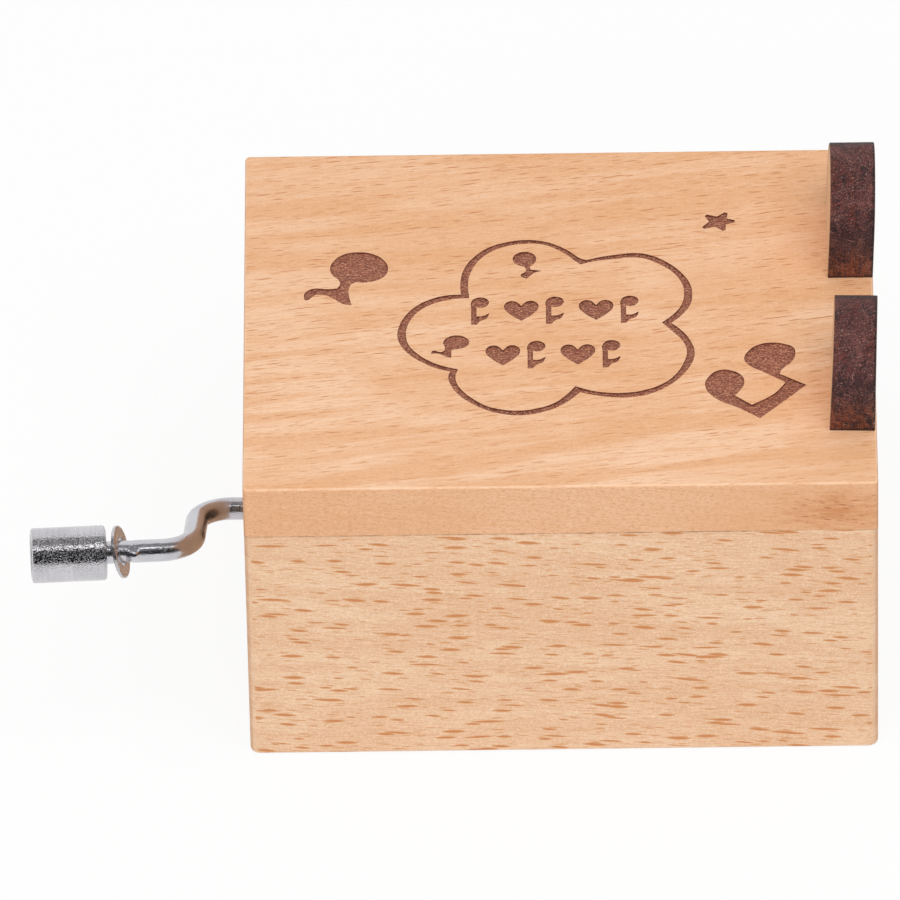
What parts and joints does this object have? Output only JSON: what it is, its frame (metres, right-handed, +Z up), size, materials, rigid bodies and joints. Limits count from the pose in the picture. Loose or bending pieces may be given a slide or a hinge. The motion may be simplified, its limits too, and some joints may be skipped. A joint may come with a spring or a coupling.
{
  "type": "hand crank music box",
  "caption": "Small wooden box with a pinned cylinder and steel comb inside, played by turning a bent wire crank at one end.",
  "frame": {"origin": "centre of the flat underside, on the surface the box stands on", "axes": "+Z up through the lid, +X out of the end where the crank leaves, ears at the -X end"},
  "size_m": [0.0865, 0.05, 0.0484],
  "materials": {
    "beech": "planed and sanded beech with fine ray flecks, unvarnished",
    "beech_lid": "sanded beech, laser engraved a millimetre wide and browned",
    "burnt_ear": "laser-cut wood with burnt dark brown edges and pale sides",
    "plywood": "sanded birch plywood",
    "cast_zinc": "die-cast zinc, as cast",
    "comb_steel": "ground spring steel",
    "spring_steel": "drawn steel",
    "zinc_steel": "zinc-plated steel",
    "brass": "turned brass",
    "nylon": "moulded white nylon",
    "nickel_wire": "bright nickel plate on bent wire",
    "nickel_knob": "bright nickel plate, turned",
    "nickel_washer": "bright nickel plate, stamped"
  },
  "bodies": {
    "case": {"case_body": "beech", "lid": "beech_lid", "ear_front": "burnt_ear", "ear_rear": "burnt_ear", "bottom_plate": "plywood", "movement_base": "cast_zinc", "comb": "comb_steel", "comb_washer_1": "zinc_steel", "comb_washer_2": "zinc_steel", "comb_screw_1": "zinc_steel", "comb_screw_2": "zinc_steel", "crank_bracket": "zinc_steel", "bracket_screw_1": "zinc_steel", "bracket_screw_2": "zinc_steel", "bottom_screw_1": "zinc_steel", "bottom_screw_2": "zinc_steel", "bottom_screw_3": "zinc_steel", "bottom_screw_4": "zinc_steel", "mounting_screw_1": "zinc_steel", "mounting_screw_2": "zinc_steel", "mounting_screw_3": "zinc_steel"},
    "crank": {"crank_wire": "nickel_wire", "worm": "brass", "shaft_clip": "spring_steel"},
    "cylinder": {"cylinder": "brass", "cylinder_plug": "nylon", "drive_gear": "nylon", "cylinder_arbor": "spring_steel"},
    "knob": {"knob": "nickel_knob"},
    "washer": {"knob_washer": "nickel_washer"}
  },
  "joints": [
    {"name": "crank_turn", "type": "hinge", "parent": "case", "child": "crank", "pos_m": [0.014, 0.009, 0.0194], "axis": [1, 0, 0], "continuous": true},
    {"name": "cylinder_turn", "type": "hinge", "parent": "case", "child": "cylinder", "pos_m": [0.014, -0.00435, 0.0122], "axis": [0, 1, 0], "continuous": true},
    {"name": "knob_spin", "type": "hinge", "parent": "crank", "child": "knob", "pos_m": [0.0405, 0.01854, 0.02274], "axis": [0.9969, 0.0741, 0.0259], "continuous": true},
    {"name": "washer_spin", "type": "hinge", "parent": "crank", "child": "washer", "pos_m": [0.0405, 0.01854, 0.02274], "axis": [0.9969, 0.0741, 0.0259], "continuous": true}
  ],
  "couplings": [
    {"joint": "cylinder_turn", "follows": "crank_turn", "ratio": -0.0625}
  ]
}
